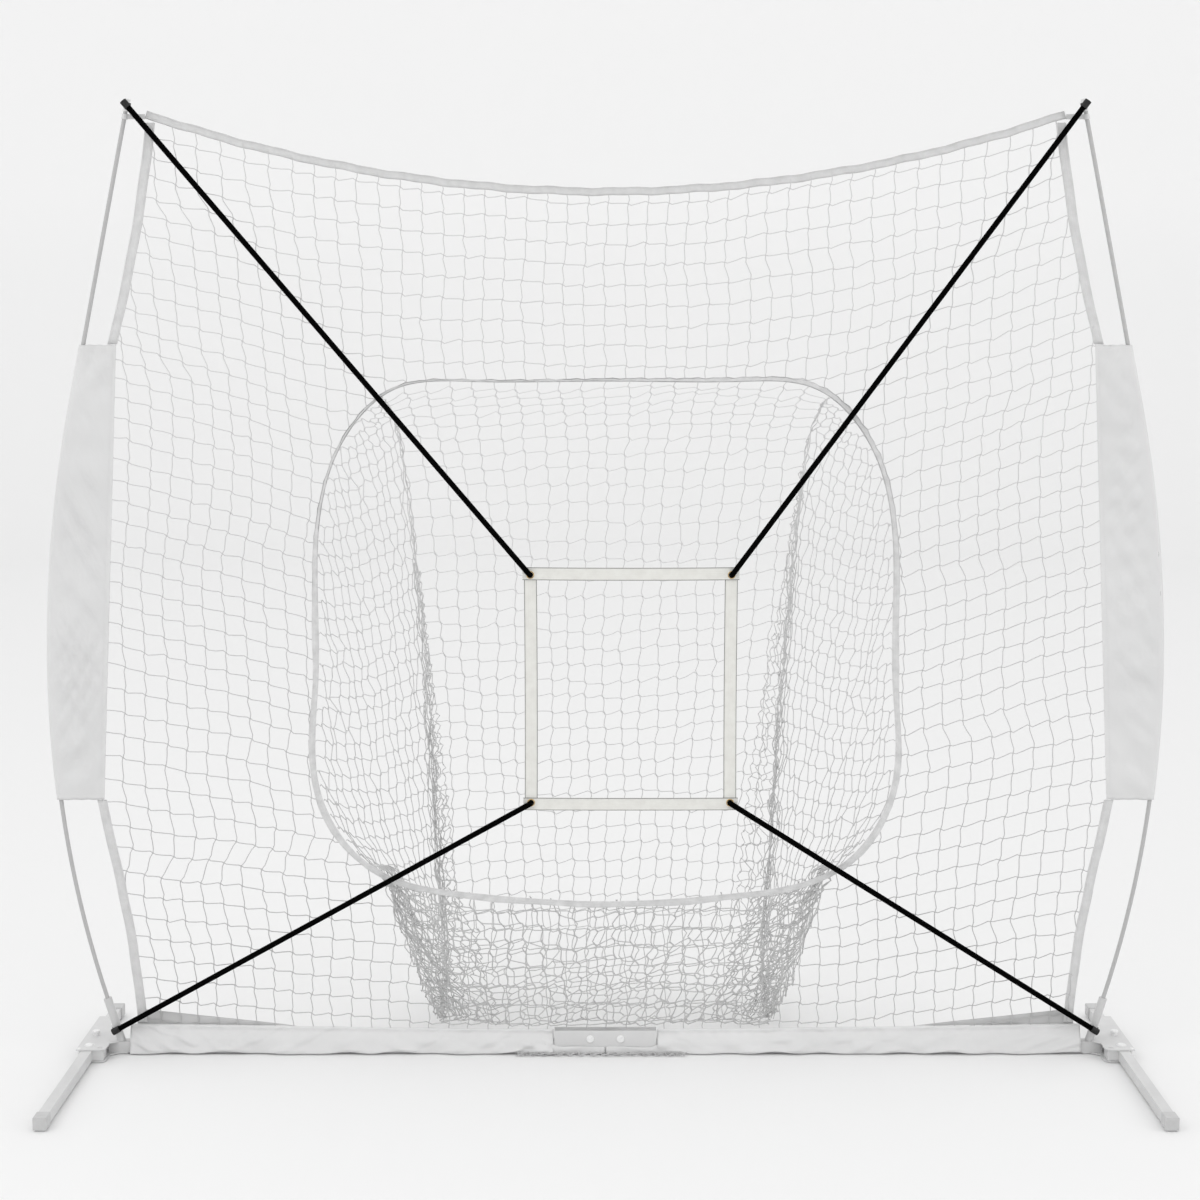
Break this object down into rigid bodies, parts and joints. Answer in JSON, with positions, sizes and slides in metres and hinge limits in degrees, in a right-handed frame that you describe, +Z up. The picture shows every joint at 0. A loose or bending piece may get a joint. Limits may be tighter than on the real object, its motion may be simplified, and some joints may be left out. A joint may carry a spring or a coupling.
{
  "type": "pitching target net",
  "caption": "Ball-catching net on two bowed poles and a steel base with folding legs, with a ball pocket and a strike-zone target held in front by elastic cords.",
  "frame": {"origin": "on the ground, under the middle of the base bar", "axes": "+X to the thrower's right along the base bar, +Y away from the thrower, +Z up"},
  "size_m": [2.5318, 1.0152, 2.1669],
  "materials": {
    "base_steel": "satin powder coat, light grey",
    "plate_steel": "pressed sheet steel, fine brushed grain",
    "bright_zinc": "bright zinc",
    "pole_glassfibre": "pultruded glass-fibre rod, pale grey, faint lengthwise grain",
    "pole_ferrule_metal": "drawn tube",
    "clip_moulding": "fine-textured black moulding",
    "foot_rubber": "grey moulded rubber",
    "net_twine": "knotless knitted twine, square mesh, pale grey",
    "pocket_twine": "knotless knitted twine, gathered",
    "edge_tape": "ribbed webbing, pale grey",
    "sleeve_fabric": "plain-weave coated polyester, pale grey, wrinkled",
    "target_webbing": "cream twill webbing with edge stitching",
    "grommet_brass": "rolled brass, slightly dulled",
    "elastic_cord": "black braided elastic cord"
  },
  "bodies": {
    "frame": {"bottom_left_cord": "elastic_cord", "bottom_left_cord_clip": "clip_moulding", "bottom_right_cord": "elastic_cord", "bottom_right_cord_clip": "clip_moulding", "corner_rivets": "bright_zinc", "hinge_bolts": "bright_zinc", "hinge_channel": "base_steel", "hinge_lugs": "base_steel", "left_base_skirt": "sleeve_fabric", "left_base_tube": "base_steel", "left_corner_bottom_plate": "plate_steel", "left_corner_top_plate": "plate_steel", "left_edge_webbing": "edge_tape", "left_lower_pole": "pole_glassfibre", "left_pole_sleeve": "sleeve_fabric", "left_pole_socket": "base_steel", "left_upper_pole": "pole_glassfibre", "leg_pivot_bolts": "bright_zinc", "net_bottom_panel": "net_twine", "net_corner_straps": "edge_tape", "net_left_panel": "net_twine", "net_right_panel": "net_twine", "net_top_panel": "net_twine", "plunger_collars": "clip_moulding", "pocket_back": "pocket_twine", "pocket_floor": "pocket_twine", "pocket_left_side": "pocket_twine", "pocket_right_side": "pocket_twine", "pocket_rim_binding": "edge_tape", "pole_ferrules": "pole_ferrule_metal", "pole_tip_caps": "clip_moulding", "right_base_skirt": "sleeve_fabric", "right_base_tube": "base_steel", "right_corner_bottom_plate": "plate_steel", "right_corner_top_plate": "plate_steel", "right_edge_webbing": "edge_tape", "right_lower_pole": "pole_glassfibre", "right_pole_sleeve": "sleeve_fabric", "right_pole_socket": "base_steel", "right_upper_pole": "pole_glassfibre", "top_edge_webbing": "edge_tape", "top_left_cord": "elastic_cord", "top_left_cord_clip": "clip_moulding", "top_right_cord": "elastic_cord", "top_right_cord_clip": "clip_moulding"},
    "target": {"target_top_strap": "target_webbing", "target_bottom_strap": "target_webbing", "target_left_strap": "target_webbing", "target_right_strap": "target_webbing", "target_grommets": "grommet_brass", "target_cord_knots": "elastic_cord"},
    "left_leg": {"left_leg_tube": "base_steel", "left_leg_stop_block": "base_steel", "left_leg_feet": "foot_rubber"},
    "left_plunger": {"left_lock_plunger": "bright_zinc"},
    "right_leg": {"right_leg_tube": "base_steel", "right_leg_stop_block": "base_steel", "right_leg_feet": "foot_rubber"},
    "right_plunger": {"right_lock_plunger": "bright_zinc"}
  },
  "joints": [
    {"name": "right_leg_fold", "type": "hinge", "parent": "frame", "child": "right_leg", "pos_m": [1.185, -0.045, 0.0163], "axis": [0, 0, -1], "range_deg": [0, 90]},
    {"name": "left_leg_fold", "type": "hinge", "parent": "frame", "child": "left_leg", "pos_m": [-1.185, -0.045, 0.0163], "axis": [0, 0, 1], "range_deg": [0, 90]},
    {"name": "right_plunger_lift", "type": "slide", "parent": "frame", "child": "right_plunger", "axis": [0, 0, 1], "range_m": [0, 0.006], "stiffness_N_per_m": 400},
    {"name": "left_plunger_lift", "type": "slide", "parent": "frame", "child": "left_plunger", "axis": [0, 0, 1], "range_m": [0, 0.006], "stiffness_N_per_m": 400},
    {"name": "target_bounce", "type": "slide", "parent": "frame", "child": "target", "axis": [0, 1, 0], "range_m": [-0.12, 0.005], "stiffness_N_per_m": 100, "deforming": ["top_left_cord", "top_right_cord", "bottom_left_cord", "bottom_right_cord"]}
  ]
}
